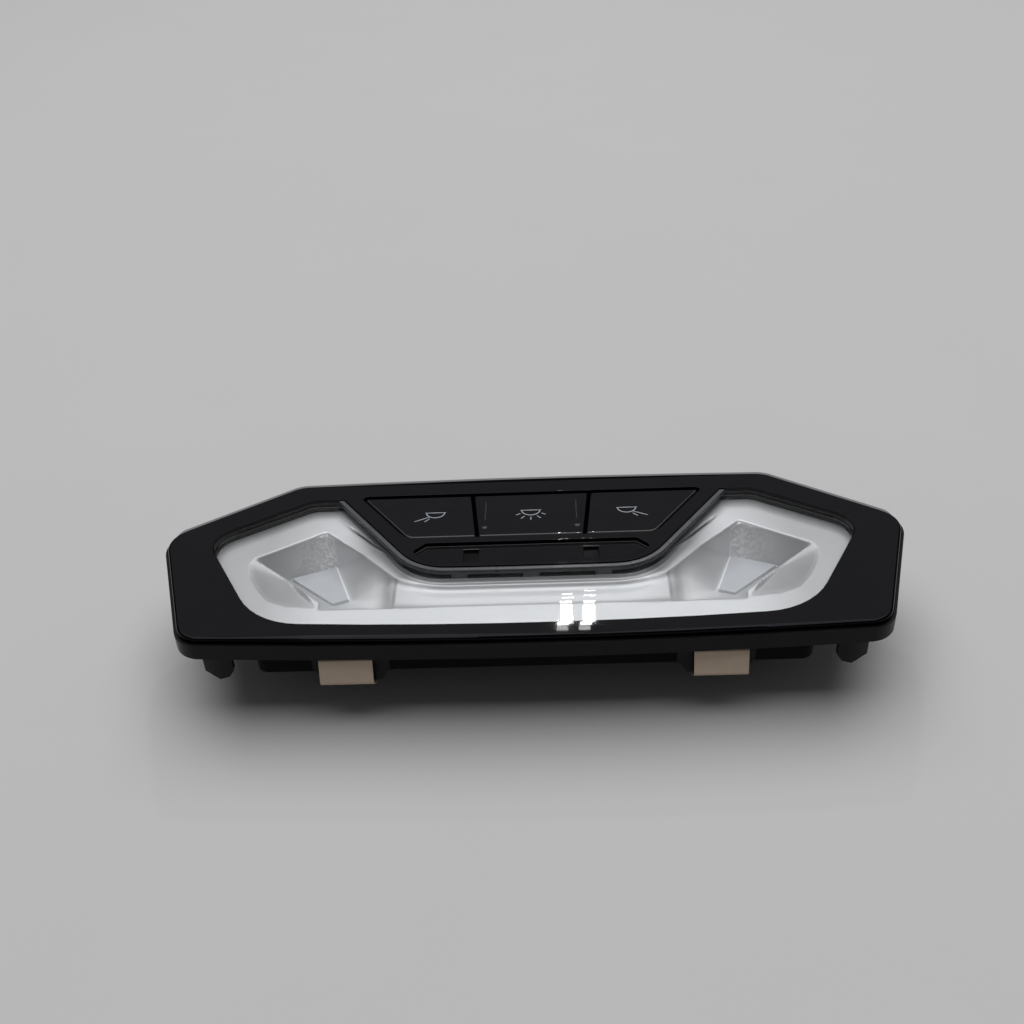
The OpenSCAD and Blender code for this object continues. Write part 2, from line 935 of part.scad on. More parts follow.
board_half = (board_w / 2 + spread) * wide;
board_near = core_near + housing_t + 0.6;
board_far = core_far - housing_t - 0.6;

module circuit_board() {
  color("#1f5a34")
    difference() {
      slab(board_under, board_top)
        difference() {
          translate([-board_half, board_near])
            square([2 * board_half, board_far - board_near]);
          for (side = [-1, 1])
            translate([side * screw_spots[1][0], screw_spots[1][1]])
              square([14, 12], center = true);
        }
      for (side = [-1, 1], p = board_screw_places())
        translate([side * p[0], p[1], board_under - 1])
          cylinder(h = board_t + 2, d = screw_d);
      pin_places(slip);
    }
}

function board_screw_places() = [spot([50, 17], spread), spot([34, -4.5], spread)];

module led(p, w) {
  translate([p[0] - w / 2, p[1] - w / 2, board_top])
    cube([w, w, led_h]);
}

module reading_leds() {
  color("#f2e9b0")
    for (side = [-1, 1])
      led(spot([side * (tile_x - 0.6), tile_y + 0.6], spread), 3.5);
}

module accent_leds() {
  color("#eef0e0")
    for (x = accent_stems)
      led([x, accent_stem_y], 2.4);
}

module symbol_leds() {
  color("#e8f0ff")
    for (side = [-1:1])
      led(key_middle(side) + [0, -5.4], 1.6);
}

// Light pipes that end in the slot's two ports

module slot_light_pipes() {
  color("#2b2d31")
    for (side = [-1, 1])
      translate(spot([side * port_x, slot_y - 0.2])) {
        slab(cover_under - 0.8, cover_under - 0.2)
          square([port_w - 2 * slip, port_l - 2 * slip], center = true);
        slab(board_top, cover_under - 0.8)
          square([port_w - 1, port_l - 1], center = true);
      }
}

// Connector with two rows of pins, open to the far side

header_z = board_under - header_h;
header_far = core_far;
socket_floor = 3;

module connector_header() {
  color("#151618")
    difference() {
      translate([-header_w / 2, header_far - header_l, header_z])
        cube([header_w, header_l, header_h]);
      translate([-header_w / 2 + header_t, header_far - header_l + socket_floor, header_z + header_t])
        cube([header_w - 2 * header_t, header_l, header_h - 2 * header_t]);
      translate([-2, header_far - 6, header_z - 1])
        cube([4, 7, header_t + 2]);
      pin_places(slip);
    }
}

module pin_places(grow) {
  pitch = (header_w - 2 * header_t) / (pins + 0.5);
  for (row = [0, 1], i = [0:pins - 1]) {
    x = (i - (pins - 1) / 2) * pitch;
    z = header_z + header_h * (row == 0 ? 0.32 : 0.68);
    back = header_far - header_l - 2 + row * 0.9;
    w = pin_w + 2 * grow;
    translate([x - w / 2, back - grow, z - w / 2])
      cube([w, header_l - 5 - row * 0.9 + grow, w]);
    translate([x - w / 2, back - grow, z - w / 2])
      cube([w, w, board_under + 0.8 - z + w / 2]);
  }
}

module connector_pins() {
  color("#c8b070")
    pin_places(0);
}

// Rear housing: shallow tray with a deep core

module shallow_2d(grow = 0) {
  half = [
    [56, shallow_far_y, 3], [shallow_width / 2, 8, 5], [shallow_near_width / 2, shallow_near_y, 3]
  ];
  offset(delta = grow)
    polygon(outline(at(both_sides(half), spread)));
}

module core_2d(grow = 0, slope = 0) {
  x = (core_width / 2 + spread) * wide - slope;
  half = [[x, core_far, 3], [x, core_near + slope, 3]];
  offset(delta = grow)
    polygon(outline(both_sides(half)));
}

// Solid of the core, or of its hollow where grow is negative
module core(bottom, top, grow) {
  hull() {
    slab(bottom, bottom + tiny)
      core_2d(grow, core_slope);
    slab(core_slope_h, top)
      core_2d(grow);
  }
}

module rear_housing() {
  color("#1a1b1d")
    difference() {
      union() {
        slab(shallow_under, flange_under)
          shallow_2d();
        core(0, shallow_under + 1, 0);
      }
      difference() {
        union() {
          slab(guide_z, flange_under + 1)
            shallow_2d(-housing_t);
          core(housing_t, guide_z + tiny, -housing_t);
        }
        housing_posts();
      }
      slab(guide_z, flange_under + 1)
        key_row_2d(guide_grow + slide);
      translate([-header_w / 2 - 0.2, header_far - housing_t - 2, header_z - 0.2])
        cube([header_w + 0.4, housing_t + 4, header_h + 0.4]);
      for (side = [-1, 1]) {
        for (p = screw_spots)
          translate([side * p[0], p[1], -1])
            cylinder(h = face_z, d = screw_d + 0.4);
        translate([side * screw_spots[1][0], screw_spots[1][1], -1])
          cylinder(h = shallow_under + 1, d = screw_head_d + 1);
        for (p = board_screw_places())
          translate([side * p[0], p[1], housing_t + 2])
            cylinder(h = board_under, d = screw_d - 0.4);
      }
    }
}

// Screw posts and board rests inside the housing
module housing_posts() {
  for (side = [-1, 1]) {
    translate([side * screw_spots[1][0], screw_spots[1][1], 0])
      cylinder(h = guide_z, d = screw_head_d + 3.4);
    for (p = board_screw_places())
      translate([side * p[0], p[1], 0])
        cylinder(h = board_under, d = screw_d + 3);
  }
}

module screw(length) {
  difference() {
    union() {
      translate([0, 0, -1.6])
        cylinder(h = 1.6, d = screw_head_d);
      cylinder(h = length, d = screw_d - 0.5);
    }
    translate([0, 0, -2])
      cylinder(h = 1.4, d = 1.8, $fn = 6);
  }
}

module housing_screws() {
  color("#8d9095")
    for (side = [-1, 1], p = screw_spots)
      translate([side * p[0], p[1], shallow_under])
        screw(7);
}

module board_screws() {
  color("#8d9095")
    for (side = [-1, 1], p = board_screw_places())
      translate([side * p[0], p[1], board_top])
        mirror([0, 0, 1])
          screw(6);
}

// Spring clips bent over the frame's tabs

module clip() {
  low = face_z - clip_drop;
  y = -tab_y * deep;
  top = skirt_under - 0.2;
  inner = y + clip_seat_t;
  translate([(clip_x + spread) * wide - clip_w / 2, 0, 0])
    rotate([90, 0, 90])
      linear_extrude(height = clip_w)
        polygon([
          [inner, top - 3], [inner, low + clip_t], [y, low + clip_t], [y - 0.9, top - 1.2],
          [y - 0.3, top - 0.2], [y - 0.3 - clip_t, top], [y - 0.9 - clip_t, top - 1.2],
          [y - clip_t, low], [inner + clip_t, low], [inner + clip_t, top - 3]
        ]);
}

module clips_near() {
  color("#b3a18a")
    for (side = [0, 1])
      mirror([side, 0, 0])
        clip();
}

module clips_far() {
  color("#b3a18a")
    for (side = [0, 1])
      mirror([side, 0, 0])
        mirror([0, 1, 0])
          clip();
}

cover();
front_lens();
accent_light_guide();
reflector();
reading_lens_left();
reading_lens_right();
carrier_frame();
button_left();
button_centre();
button_right();
stem_left();
stem_centre();
stem_right();
key_guide();
key_switches();
circuit_board();
reading_leds();
accent_leds();
symbol_leds();
slot_light_pipes();
connector_header();
connector_pins();
rear_housing();
housing_screws();
board_screws();
clips_near();
clips_far();
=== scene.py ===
"""Finishes the car dome light's moulded pieces, keys, reflector and stage around its CAD frame."""

import itertools
import math

import bmesh
import bpy
import numpy as np
from bpy.props import FloatProperty, FloatVectorProperty, PointerProperty
from mathutils import Matrix, Vector


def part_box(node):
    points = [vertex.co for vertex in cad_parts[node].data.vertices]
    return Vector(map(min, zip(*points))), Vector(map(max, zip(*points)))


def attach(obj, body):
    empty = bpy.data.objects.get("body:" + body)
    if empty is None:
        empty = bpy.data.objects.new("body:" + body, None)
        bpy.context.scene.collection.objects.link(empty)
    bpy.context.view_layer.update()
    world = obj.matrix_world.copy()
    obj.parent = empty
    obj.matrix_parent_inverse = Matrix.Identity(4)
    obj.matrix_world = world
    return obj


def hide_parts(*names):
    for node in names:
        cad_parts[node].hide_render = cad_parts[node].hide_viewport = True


bl_info = {
    "name": "Car dome light",
    "version": (1, 0, 0),
    "blender": (4, 5, 0),
    "location": "3D View > Sidebar > Dome light",
    "description": "Finishes the dome light's moulded pieces, keys, reflector and stage",
    "category": "Object",
}

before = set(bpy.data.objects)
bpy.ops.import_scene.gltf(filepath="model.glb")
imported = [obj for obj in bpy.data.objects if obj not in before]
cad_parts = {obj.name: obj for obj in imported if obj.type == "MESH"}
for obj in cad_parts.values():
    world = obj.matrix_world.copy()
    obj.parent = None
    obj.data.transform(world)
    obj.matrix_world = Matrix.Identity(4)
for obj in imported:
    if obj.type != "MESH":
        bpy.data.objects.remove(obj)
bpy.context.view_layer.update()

MM = 0.001


def top_of(node):
    """Height of a CAD node's highest point."""
    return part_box(node)[1].z


def at(places, height):
    """Places in plan, all brought to one height."""
    return [(x, y, height) for x, y in places]


# Places and lengths, in millimetres. Those beside the middle are on the right half, which the left
# half mirrors.
FACE = top_of("cover") / MM
FLANGE = FACE - 4
WELL_FLOOR = top_of("reading_lens_right") / MM - 0.8

# The reflector's wall and the slope of its hollows' sides, the centre panel's edge, the trough, and
# the groove beside the panel.
WALL = 1.1
LEAST_WALL = 0.6
STEEP = 7
PANEL_NEAR = -5.15
PANEL_FOOT = (28.6, -5)
PANEL_SLOPE = 1.3426
PANEL_LEAN = 1.6741
TROUGH_NEAR = -15.5
TROUGH_DEPTH = 1.1
GROOVE_START = (33.9, 1.6)
GROOVE_WAY = (0.6837, 0.7298)

# Rims and floors of the wells, of their ramps to the trough, and of the pits at their outer ends.
TILE = [(63.76, 6.12), (51.73, 10.5), (46.84, -2.92), (51.4, -4.58)]
WELL_RIM = [(71.6, 4.8), (54.4, 15.1), (43.1, 4.9), (43.1, -12.0), (50.5, -14.5)]
RAMP_RIM = [(34.2, -4.6), (43.1, 4.9), (52.5, -15.5), (34.2, -15.5)]
RAMP_SHOULDER = [(43, 1.1, FLANGE - 1.5), (43.1, -1.8, FLANGE - 4), (44.4, -3.5, FLANGE - 6.3)]
RAMP_FOOT = [TILE[2], TILE[3], (47.24, -2.12)]
RAMP_END = [(34.2, -11, FLANGE - TROUGH_DEPTH)]
PIT_RIM = [
    (72.6, 2.6),
    (71.9, -1.5),
    (69.4, -6.8),
    (65.8, -11.6),
    (60.5, -13.9),
    (53.5, -14.5),
    (71.6, 4.8),
]
WELL = at(WELL_RIM, FLANGE) + at(TILE, WELL_FLOOR)
RAMP = at(RAMP_RIM, FLANGE) + RAMP_SHOULDER + at(RAMP_FOOT, WELL_FLOOR) + RAMP_END
PIT = at(PIT_RIM, FLANGE) + [(63.1, 0.4, FLANGE - 4)]

# Where painted highlights run along the centre key's ribs, how deep the keys lie, and the middle of
# the right key's symbol.
RIB_EDGE = 11.9
RIB_MIDDLE = 17.2
KEY_DROP = 0.35
SYMBOL_MIDDLE = (25.1, 17.35)

# The spring clips: their middle along X, their width, their sheet, and its profile in Y and Z.
CLIP_MIDDLE = 44.6
CLIP_WIDTH = 12.9
CLIP_SHEET = 0.44
CLIP_CORNERS = [
    (27.35, 18.6),
    (27.35, 12.6),
    (28.3, 11.75),
    (29.3, 12.2),
    (31.2, 14.0),
    (31.6, 14.9),
    (29.75, 20.9),
]

# Colours of painted highlights and of painted light on single edges, lines and a ledge.
RIB_HIGHLIGHT = (0.05, 0.05, 0.053)
RIM_HIGHLIGHT = (0.2, 0.2, 0.21)
LEDGE_PAINTED_LIGHT = (0.3, 0.3, 0.305)
TILE_EDGE_HIGHLIGHT = (0.95, 0.95, 0.95)


def by_groove(x, y):
    """Distances along and beside the groove's line, of arrays or of wires: the place from the
    groove's start, turned by the line's direction."""
    out, far = x - GROOVE_START[0], y - GROOVE_START[1]
    return out * GROOVE_WAY[0] + far * GROOVE_WAY[1], far * GROOVE_WAY[0] - out * GROOVE_WAY[1]


# Settings


class LampSizes(bpy.types.PropertyGroup):
    """Sizes of the finished edges and of the symbols on the keys."""

    moulded_edge: FloatProperty(
        name="Moulded edge",
        description="Rounding of the gloss mouldings' sharp edges",
        default=0.22 * MM,
        min=0.02 * MM,
        max=0.6 * MM,
        unit="LENGTH",
    )
    key_edge: FloatProperty(
        name="Key edge",
        description="Rounding of the keys' edges",
        default=0.18 * MM,
        min=0.02 * MM,
        max=0.5 * MM,
        unit="LENGTH",
    )
    symbol_line: FloatProperty(
        name="Symbol line",
        description="Width of the lines of the symbols on the keys",
        default=0.26 * MM,
        min=0.1 * MM,
        max=0.6 * MM,
        unit="LENGTH",
    )
    symbol_rise: FloatProperty(
        name="Symbol rise",
        description="How far the symbols stand out of the keys",
        default=0.03 * MM,
        min=0.01 * MM,
        max=0.1 * MM,
        unit="LENGTH",
    )


class LampColours(bpy.types.PropertyGroup):
    """Base colours of the lamp's main finishes."""

    gloss_black: FloatVectorProperty(
        name="Gloss black",
        description="Colour of the face moulding and the keys",
        subtype="COLOR",
        size=3,
        default=(0.009, 0.009, 0.0105),
        min=0,
        max=1,
    )
    satin_black: FloatVectorProperty(
        name="Satin black",
        description="Colour of the carrier frame and the rear housing",
        subtype="COLOR",
        size=3,
        default=(0.005, 0.005, 0.0054),
        min=0,
        max=1,
    )
    silver: FloatVectorProperty(
        name="Silver",
        description="Colour of the reflector's paint",
        subtype="COLOR",
        size=3,
        default=(0.77, 0.772, 0.778),
        min=0,
        max=1,
    )
    clip_tan: FloatVectorProperty(
        name="Clip tan",
        description="Colour of the spring clips' coating",
        subtype="COLOR",
        size=3,
        default=(0.5, 0.395, 0.3),
        min=0,
        max=1,
    )
    floor: FloatVectorProperty(
        name="Floor",
        description="Colour of the floor",
        subtype="COLOR",
        size=3,
        default=(0.588, 0.584, 0.589),
        min=0,
        max=1,
    )


class StageSettings(bpy.types.PropertyGroup):
    """Settings of the camera."""

    focal_length: FloatProperty(
        name="Focal length",
        description="Focal length on a 36 mm sensor, in millimetres",
        default=43.945,
        min=20,
        max=120,
    )
    camera_place: FloatVectorProperty(
        name="Camera place",
        description="Where the camera stands",
        subtype="TRANSLATION",
        size=3,
        default=(0.006476, -0.243599, 0.227617),
    )
    camera_elevation: FloatProperty(
        name="Elevation",
        description="How far the camera looks down",
        subtype="ANGLE",
        default=math.radians(37.5),
    )
    camera_heading: FloatProperty(
        name="Heading",
        description="How far the camera turns from the far side, clockwise from above",
        subtype="ANGLE",
        default=math.radians(-2.514),
    )
    camera_roll: FloatProperty(
        name="Roll",
        description="Turn of the camera about its own axis",
        subtype="ANGLE",
        default=math.radians(3.264),
    )


# Shader maths


class Wire:
    """A socket of a finish that takes part in Python arithmetic by adding Math nodes."""

    def __init__(self, finish, socket):
        self.finish = finish
        self.socket = socket

    def math(self, operation, *values):
        """One Math node on the given numbers and wires."""
        return self.finish.node("ShaderNodeMath", {"operation": operation}, dict(enumerate(values)))

    def __add__(self, other):
        return self.math("ADD", self, other)

    def __sub__(self, other):
        return self.math("SUBTRACT", self, other)

    def __rsub__(self, other):
        return self.math("SUBTRACT", other, self)

    def __mul__(self, other):
        return self.math("MULTIPLY", self, other)

    def __abs__(self):
        return self.math("ABSOLUTE", self)

    __radd__ = __add__
    __rmul__ = __mul__

    def fade(self, start, end, first, last):
        """From first to last as the wire goes from start to end."""
        values = {"Value": self, 1: start, 2: end, 3: first, 4: last}
        return self.finish.node("ShaderNodeMapRange", {"clamp": True}, values)

    def rise(self, start, end):
        """From 0 to 1 as the wire goes from start to end."""
        return self.fade(start, end, 0, 1)

    def fall(self, start, end):
        """From 1 to 0 as the wire goes from start to end."""
        return self.fade(start, end, 1, 0)

    def spread(self, low, high):
        """A noise's usual values, 0.3 to 0.7, spread from low to high."""
        return self.fade(0.3, 0.7, low, high)


class Finish:
    """A material with one Principled shader, and the one method that adds any other node."""

    def __init__(self, name, constants):
        self.material = bpy.data.materials.new(name)
        self.material.use_nodes = True
        self.tree = self.material.node_tree
        self.shader = self.tree.nodes["Principled BSDF"]
        self.output = self.tree.nodes["Material Output"]
        self.drive(constants)

    def node(self, kind, settings, values, output=0):
        """Adds a node of a type, makes its settings, then feeds its sockets."""
        made = self.tree.nodes.new(kind)
        for name, value in settings.items():
            setattr(made, name, value)
        for name, value in values.items():
            self.feed(made.inputs[name], value)
        return Wire(self, made.outputs[output])

    def feed(self, socket, value):
        """Links a wire to a socket, or sets the socket's own value."""
        if isinstance(value, Wire):
            self.tree.links.new(value.socket, socket)
        elif socket.type == "RGBA" and len(value) == 3:
            socket.default_value = (*value, 1)
        else:
            socket.default_value = value

    def drive(self, values):
        """Feeds sockets of the shader itself."""
        for name, value in values.items():
            self.feed(self.shader.inputs[name], value)

    def place(self):
        """The place on the object, in metres."""
        return self.node("ShaderNodeTexCoord", {}, {}, "Object")

    def noise(self, size, detail=2.0, roughness=0.5, stretch=None):
        """Noise whose grains are about size metres wide, from 0 to 1, squeezed along the axes."""
        place = self.place()
        if stretch:
            place = self.node("ShaderNodeMapping", {}, {"Vector": place, "Scale": stretch})
        values = {"Vector": place, "Scale": 1 / size, "Detail": detail, "Roughness": roughness}
        return self.node("ShaderNodeTexNoise", {}, values, "Fac")

    def along(self, axis):
        """The place on the object along one axis, in millimetres."""
        return self.node("ShaderNodeSeparateXYZ", {}, {"Vector": self.place()}, axis) * (1 / MM)

    def shade(self, amount, first, second):
        """A mix of two colours, each given as numbers or as a wire."""
        values = {"Factor": amount, 6: first, 7: second}
        return self.node("ShaderNodeMix", {"data_type": "RGBA"}, values, 2)

    def bump(self, height, depth, under=None):
        """A bump whose full height is depth metres, on top of the one under it."""
        values = {"Height": height, "Strength": 1.0, "Distance": depth}
        if under:
            values["Normal"] = under
        return self.node("ShaderNodeBump", {}, values)


def scaled(colour, factor):
    """A colour made lighter or darker."""
    return tuple(min(1.0, c * factor) for c in colour)


# Finishes


def gloss_moulding(name, colour, face=None, ribs=None):
    """Polished black moulding: faint orange peel, and thin smudges that dull it a little. Face
    is the height, in millimetres, below which its rounded edges, down to 1 mm under it, mirror
    nothing: a painted shade line along the edge. Ribs is how far from the middle two painted
    highlight lines run, along the inner edges of a key's feeler ribs."""
    made = Finish(name, {"IOR": 1.5})
    if face:
        # Painted shade: the rounded edge turns metallic in the dark colour, so it mirrors almost
        # nothing and reads as a black line.
        up = made.along("Z")
        edge = up.fall(face - 0.004, face - 0.0005) * up.rise(face - 1.1, face - 1.0)
        made.drive({"Metallic": edge})
    smudge = made.noise(9 * MM, 4, 0.6, stretch=(1, 2.2, 1))
    shade = made.shade(smudge, scaled(colour, 0.85), scaled(colour, 1.25))
    if ribs:
        # Painted highlights along the inner edges of the feeler ribs.
        beside = abs(abs(made.along("X")) - ribs)
        length = abs(made.along("Y") - RIB_MIDDLE)
        shade = made.shade(beside.fall(0.05, 0.22) * length.fall(3.2, 4.8), shade, RIB_HIGHLIGHT)
    made.drive(
        {
            "Base Color": shade,
            "Roughness": smudge.spread(0.008, 0.03),
            "Normal": made.bump(made.noise(1.3 * MM, 1), 0.0004 * MM),
        }
    )
    return made.material


def satin_moulding(name, colour, rough=0.42, grain=0.35, gloss=0.2, rim=None):
    """Satin black moulding with a fine spark-eroded grain. Rim gives the heights, in
    millimetres, between which it turns pale toward its upper edge, a painted highlight; its
    ledge beyond the window is then pale too, as painted light."""
    made = Finish(name, {"IOR": 1.5, "Specular IOR Level": gloss})
    broad = made.noise(7 * MM, 3)
    fine = made.noise(grain * MM, 2, 0.6)
    shade = made.shade(broad, scaled(colour, 0.8), scaled(colour, 1.3))
    if rim:
        up = made.along("Z")
        # Painted light on the far ledge, and a painted highlight on the upper rim.
        ledge = up.rise(FLANGE + 1.3, FLANGE + 1.35) * up.fall(FLANGE + 1.45, FLANGE + 1.5)
        shade = made.shade(up.rise(*rim), shade, RIM_HIGHLIGHT)
        shade = made.shade(ledge * made.along("Y").rise(8, 10), shade, LEDGE_PAINTED_LIGHT)
    made.drive(
        {
            "Base Color": shade,
            "Roughness": broad.spread(rough - 0.06, rough + 0.08),
            "Normal": made.bump(fine, 0.012 * MM),
        }
    )
    return made.material


def painted_shade(outward, across, up):
    """How much of the silver's colour the painted shade leaves, from 0 to 1: painted shade in the
    panel's shade beside the groove, close to the panel's edge, at the trough's ends and toward
    the outer corners, and a painted shadow, nearly black, on the groove's line. The panel's edge
    is the same as in beside_panel, with slope / lean and 1 / lean worked out."""
    along, beside = by_groove(outward, across)
    # The groove is real but shallow; its dark line is a painted shadow.
    line = abs(beside).fall(0.14, 0.34) * along.rise(-7.5, -4) * along.fall(17, 22)
    # Painted shade in the band beside the groove.
    shade = beside.fade(-7, -2.5, 0, 0.5) * along.rise(-9, -5) * along.fall(8, 20)
    slanted = (outward - PANEL_FOOT[0]) * 0.802 - (across - PANEL_FOOT[1]) * 0.5973
    gap = slanted.math("SMOOTH_MAX", slanted, PANEL_NEAR - across, 9.6)
    # Painted shade close to the panel's edge.
    edge = gap.fade(0.9, 2.2, 0.7, 0.15) * gap.rise(0.3, 0.9) * gap.fall(2.2, 2.8)
    edge = edge * along.fade(2, 9, 1, 0.3)
    # Painted shade at the trough's ends.
    end = outward.fade(26, 37, 0, 0.16) * outward.fall(37.5, 40)
    end = end * up.fall(FLANGE - 0.5, FLANGE - 0.2)
    shade_factor = (1 - edge) * (1 - line * 0.93) * (1 - shade)
    # Painted shade toward the outer corners too.
    return shade_factor * outward.fade(52, 68, 1, 0.74) * (1 - end)


def silver_paint(colour):
    """Satin silver paint: fine flakes that tilt the surface, slow changes of sheen, a coarser
    stipple on the inner part of the wells' far walls, a painted highlight that makes the ramps
    brighter, and painted shade that darkens it toward black."""
    made = Finish("silver_paint", {"IOR": 1.5})
    flakes = made.noise(0.16 * MM, 2, 0.65)
    grain = made.noise(0.9 * MM, 2, 0.55)
    cloud = made.noise(6 * MM, 3)
    outward, across, up = abs(made.along("X")), made.along("Y"), made.along("Z")
    wall = outward.rise(51.5, 52.5) * outward.fall(53, 64) * across.rise(6.5, 9)
    wall = wall * up.fall(FLANGE - 0.9, FLANGE - 0.4)
    # Painted highlight: the ramps are mixed toward white and made less metallic.
    ramp = outward.fade(36, 38, 0, 0.85) * outward.fall(40, 50) * across.fall(-4, 1)
    ramp = ramp * up.fall(FLANGE - 0.7, FLANGE - 0.3)
    paint = made.shade(flakes, scaled(colour, 0.9), scaled(colour, 1.08))
    paint = made.shade(grain.rise(0.42, 0.58) * wall + ramp, paint, (1, 1, 1))
    made.drive(
        {
            # Painted shade darkens the silver toward black.
            "Base Color": made.shade(painted_shade(outward, across, up), (0, 0, 0), paint),
            "Roughness": cloud.spread(0.45, 0.51),
            "Metallic": 0.58 - ramp * 0.4 - wall * 0.12,
            "Normal": made.bump(grain * wall, 0.45 * MM, made.bump(flakes, 0.006 * MM)),
        }
    )
    return made.material


def clear_plastic(name, tint, gloss):
    """Clear plastic: what lies behind shows through, and its face reflects as glass does. The
    Principled shader isn't shown; it keeps the values for programs that read no other."""
    made = Finish(name, {"Base Color": (0, 0, 0), "Roughness": 0.02, "IOR": 1.5})
    dust = made.noise(0.5 * MM, 3, 0.7)
    made.drive({"Roughness": dust.spread(0.015, 0.03), "Specular IOR Level": 1.0})
    through = made.node("ShaderNodeBsdfTransparent", {}, {"Color": tint})
    mirror = made.node("ShaderNodeBsdfGlossy", {}, {"Color": (1, 1, 1), "Roughness": gloss})
    edge = made.node("ShaderNodeFresnel", {}, {"IOR": 1.5})
    behind = made.node("ShaderNodeNewGeometry", {}, {}, "Backfacing")
    mix = made.node("ShaderNodeMixShader", {}, {0: edge * (1 - behind), 1: through, 2: mirror})
    made.tree.links.new(mix.socket, made.output.inputs["Surface"])
    return made.material


def frosted_tile(name, colour):
    """Frosted tile with a painted highlight, a bright line, along its edge toward the middle: the
    distance from that edge is |(|x| - tile x) 0.94 - (y - tile y) 0.342|, with tile x and tile
    y its far corner on that side."""
    made = Finish(name, {"IOR": 1.49})
    cloud = made.noise(4 * MM, 3)
    out, far = abs(made.along("X")) - TILE[1][0], made.along("Y") - TILE[1][1]
    # Painted highlight along the tile's edge toward the middle.
    edge = abs(out * 0.94 - far * 0.342).fall(0.4, 0.65)
    shade = made.shade(cloud, scaled(colour, 0.93), scaled(colour, 1.05))
    made.drive(
        {
            "Base Color": made.shade(edge, shade, TILE_EDGE_HIGHLIGHT),
            "Roughness": cloud.spread(0.34, 0.43),
            "Normal": made.bump(made.noise(0.25 * MM, 2), 0.004 * MM),
        }
    )
    return made.material


def milky_plastic(name, colour, painted_lit=None):
    """Milky plastic, faintly uneven inside. When given the lit heights, in millimetres, it turns
    between them from a painted shade, nearly black, to its own colour as a painted lit top;
    below them it lightens again downward, as painted light."""
    made = Finish(name, {"IOR": 1.49})
    cloud = made.noise(4 * MM, 3)
    share, dark = cloud, 0.93
    if painted_lit:
        up = made.along("Z")
        # Painted light on the top, painted shade in the band below it, and painted light again
        # lower down.
        share, dark = up.rise(*painted_lit) + up.fade(painted_lit[0] - 0.8, painted_lit[0], 1.6, 0), 0.05
    made.drive(
        {
            "Base Color": made.shade(share, scaled(colour, dark), scaled(colour, 1.05)),
            "Roughness": cloud.spread(0.26, 0.35),
            "Normal": made.bump(made.noise(0.25 * MM, 2), 0.004 * MM),
        }
    )
    return made.material


def printed_symbol():
    """White print of the symbols, slightly thin in places."""
    made = Finish("symbol_print", {"Roughness": 0.4})
    thin = made.noise(0.6 * MM, 2)
    made.drive({"Base Color": made.shade(thin, (0.36, 0.39, 0.44), (0.52, 0.55, 0.6))})
    return made.material


def coated_sheet(colour):
    """Tan-coated spring sheet: drawn along its length, slightly rubbed."""
    made = Finish("clip_tan", {"Metallic": 0.25, "IOR": 1.5})
    drawn = made.noise(0.5 * MM, 3, stretch=(3, 1, 0.25))
    cloud = made.noise(3.5 * MM, 3)
    made.drive(
        {
            "Base Color": made.shade(cloud, scaled(colour, 0.86), scaled(colour, 1.1)),
            "Roughness": drawn.spread(0.36, 0.5),
            "Normal": made.bump(drawn, 0.004 * MM),
        }
    )
    return made.material


def turned_metal(name, colour, rough):
    """Plated metal with fine drawing marks."""
    made = Finish(name, {"Metallic": 1.0})
    drawn = made.noise(0.3 * MM, 2, stretch=(1, 1, 4))
    made.drive(
        {
            "Base Color": made.shade(drawn, scaled(colour, 0.85), scaled(colour, 1.1)),
            "Roughness": drawn.spread(rough - 0.08, rough + 0.08),
        }
    )
    return made.material


def board_lacquer():
    """Green solder mask over the faint weave of the board."""
    made = Finish("board_green", {"IOR": 1.5})
    bands = {"Vector": made.place(), "Scale": 900, "Distortion": 1.5}
    weave = made.node("ShaderNodeTexWave", {"bands_direction": "X"}, bands)
    patches = made.noise(5 * MM, 2)
    made.drive(
        {
            "Base Color": made.shade(patches, (0.014, 0.09, 0.035), (0.03, 0.15, 0.06)),
            "Roughness": patches.spread(0.25, 0.35),
            "Normal": made.bump(weave, 0.004 * MM),
        }
    )
    return made.material


def paper_floor(colour):
    """Plain matt floor with a barely visible unevenness."""
    made = Finish("floor_matt", {"Roughness": 0.7, "Specular IOR Level": 0.25})
    cloud = made.noise(60 * MM, 3)
    made.drive({"Base Color": made.shade(cloud, scaled(colour, 0.985), scaled(colour, 1.015))})
    return made.material


# Meshes


def new_object(name, vertices, faces, material, body):
    """A closed piece from arrays of vertices and faces, turned outward, smooth-shaded, riding on
    a body."""
    mesh = bpy.data.meshes.new(name)
    mesh.from_pydata(vertices.tolist(), [], faces)
    mesh.validate()
    mesh.shade_smooth()
    mesh.calc_loop_triangles()
    corners = np.empty(3 * len(mesh.loop_triangles), int)
    mesh.loop_triangles.foreach_get("vertices", corners)
    a, b, c = vertices[corners.reshape(-1, 3)].transpose(1, 0, 2)
    if (a * np.cross(b, c)).sum() < 0:
        mesh.flip_normals()
    piece = bpy.data.objects.new(name, mesh)
    bpy.context.scene.collection.objects.link(piece)
    mesh.materials.append(material)
    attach(piece, body)
    return piece


def cells(index):
    """The corners of each cell between the rows and columns of a grid of vertex numbers."""
    quads = np.stack([index[:-1, :-1], index[1:, :-1], index[1:, 1:], index[:-1, 1:]], -1)
    return quads.reshape(-1, 4)


def ring_cells(index):
    """The corners of each cell of a grid whose rows are closed into rings, the other way round."""
    around = np.roll(index, -1, axis=1)
    return np.stack([index[:-1], around[:-1], around[1:], index[1:]], -1).reshape(-1, 4)


